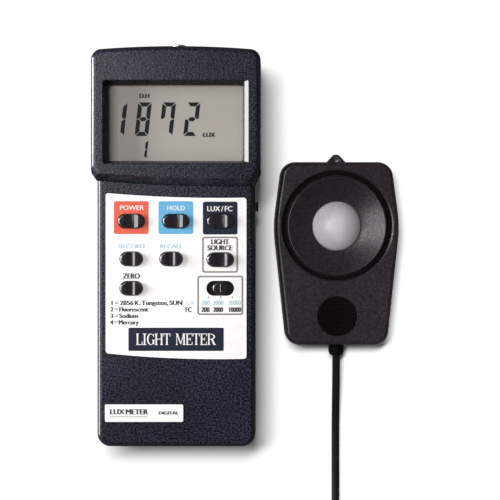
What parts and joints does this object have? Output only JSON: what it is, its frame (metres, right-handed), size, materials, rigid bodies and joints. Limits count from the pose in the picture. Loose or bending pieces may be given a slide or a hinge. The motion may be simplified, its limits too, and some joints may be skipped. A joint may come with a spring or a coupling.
{
  "type": "handheld light meter",
  "caption": "Handheld light meter with a digital display, push keys and a range switch, and a separate flat light sensor with a white dome on a cord that ends in a plug.",
  "frame": {"origin": "centre of the meter's flat back, on the surface that the meter and the sensor head lie on", "axes": "+Z out of the meter's front face, +Y along the meter towards its display end, +X to the right, towards the sensor head"},
  "size_m": [0.1341, 0.2603, 0.032],
  "materials": {
    "case_plastic": "fine moulded grain, blue-black",
    "key_plastic": "glossy black",
    "printed_label": "printed polycarbonate film, satin white",
    "clear_window": "clear acrylic, polished",
    "display_glass": "grey reflective liquid crystal panel",
    "dark_plastic": "plain moulded, satin",
    "circuit_board": "green solder mask",
    "chip_plastic": "moulded epoxy",
    "plated_steel": "bright plated",
    "silicone_rubber": "matt moulded",
    "battery_can": "printed can",
    "snap_vinyl": "soft vinyl",
    "red_insulation": "wire insulation",
    "sensor_plastic": "smooth moulded, satin",
    "diffuser_plastic": "opal white",
    "filter_glass": "coloured filter glass",
    "photodiode_can": "gilded can",
    "cord_jacket": "smooth vinyl jacket",
    "tie_vinyl": "soft strap"
  },
  "bodies": {
    "meter": {"front_cover": "case_plastic", "rear_cover": "case_plastic", "front_label": "printed_label", "name_badge": "printed_label", "display_window": "clear_window", "lcd_glass": "display_glass", "lcd_frame": "dark_plastic", "range_switch_housing": "dark_plastic", "calibration_trimmer": "dark_plastic", "probe_socket": "dark_plastic", "data_jack": "dark_plastic", "main_board": "circuit_board", "microcontroller": "chip_plastic", "case_screw_1": "plated_steel", "case_screw_2": "plated_steel", "case_screw_3": "plated_steel", "case_screw_4": "plated_steel", "board_screw_1": "plated_steel", "board_screw_2": "plated_steel", "socket_nut": "plated_steel", "quartz_crystal": "plated_steel", "contact_mat": "silicone_rubber", "contact_strip_1": "silicone_rubber", "contact_strip_2": "silicone_rubber", "battery": "battery_can", "capacitor": "battery_can", "battery_snap": "snap_vinyl", "battery_lead_black": "snap_vinyl", "battery_lead_red": "red_insulation"},
    "sensor_head": {"sensor_front_shell": "sensor_plastic", "sensor_rear_shell": "sensor_plastic", "sensor_dish": "sensor_plastic", "diffuser_dome": "diffuser_plastic", "filter_holder": "dark_plastic", "colour_filter": "filter_glass", "photodiode": "photodiode_can", "sensor_board": "circuit_board", "sensor_lead": "red_insulation", "thumb_grip": "silicone_rubber", "strain_relief": "cord_jacket", "sensor_screw_1": "plated_steel", "sensor_screw_2": "plated_steel", "sensor_screw_3": "plated_steel", "sensor_screw_4": "plated_steel", "sensor_cord": "cord_jacket", "cord_coil": "cord_jacket", "cord_tail": "cord_jacket", "cord_tie": "tie_vinyl", "plug_grip": "cord_jacket", "plug_pin": "plated_steel"},
    "battery_door": {"battery_cover": "case_plastic"},
    "range_slider": {"range_knob": "key_plastic"},
    "power_key_cap": {"power_key": "key_plastic"},
    "hold_key_cap": {"hold_key": "key_plastic"},
    "unit_key_cap": {"unit_key": "key_plastic"},
    "record_key_cap": {"record_key": "key_plastic"},
    "recall_key_cap": {"recall_key": "key_plastic"},
    "source_key_cap": {"source_key": "key_plastic"},
    "zero_key_cap": {"zero_key": "key_plastic"}
  },
  "joints": [
    {"name": "sensor_lift", "type": "slide", "parent": "meter", "child": "sensor_head", "axis": [0, 0, 1], "range_m": [0, 0.15]},
    {"name": "battery_cover_slide", "type": "slide", "parent": "meter", "child": "battery_door", "axis": [0, -1, 0], "range_m": [0, 0.055]},
    {"name": "range_switch", "type": "slide", "parent": "meter", "child": "range_slider", "axis": [1, 0, 0], "range_m": [-0.0022, 0.0022]},
    {"name": "power_key_press", "type": "slide", "parent": "meter", "child": "power_key_cap", "axis": [0, 0, -1], "range_m": [0, 0.0006], "stiffness_N_per_m": 200, "springref_m": -0.0005},
    {"name": "hold_key_press", "type": "slide", "parent": "meter", "child": "hold_key_cap", "axis": [0, 0, -1], "range_m": [0, 0.0006], "stiffness_N_per_m": 200, "springref_m": -0.0005},
    {"name": "unit_key_press", "type": "slide", "parent": "meter", "child": "unit_key_cap", "axis": [0, 0, -1], "range_m": [0, 0.0006], "stiffness_N_per_m": 200, "springref_m": -0.0005},
    {"name": "record_key_press", "type": "slide", "parent": "meter", "child": "record_key_cap", "axis": [0, 0, -1], "range_m": [0, 0.0006], "stiffness_N_per_m": 200, "springref_m": -0.0005},
    {"name": "recall_key_press", "type": "slide", "parent": "meter", "child": "recall_key_cap", "axis": [0, 0, -1], "range_m": [0, 0.0006], "stiffness_N_per_m": 200, "springref_m": -0.0005},
    {"name": "source_key_press", "type": "slide", "parent": "meter", "child": "source_key_cap", "axis": [0, 0, -1], "range_m": [0, 0.0006], "stiffness_N_per_m": 200, "springref_m": -0.0005},
    {"name": "zero_key_press", "type": "slide", "parent": "meter", "child": "zero_key_cap", "axis": [0, 0, -1], "range_m": [0, 0.0006], "stiffness_N_per_m": 200, "springref_m": -0.0005}
  ]
}
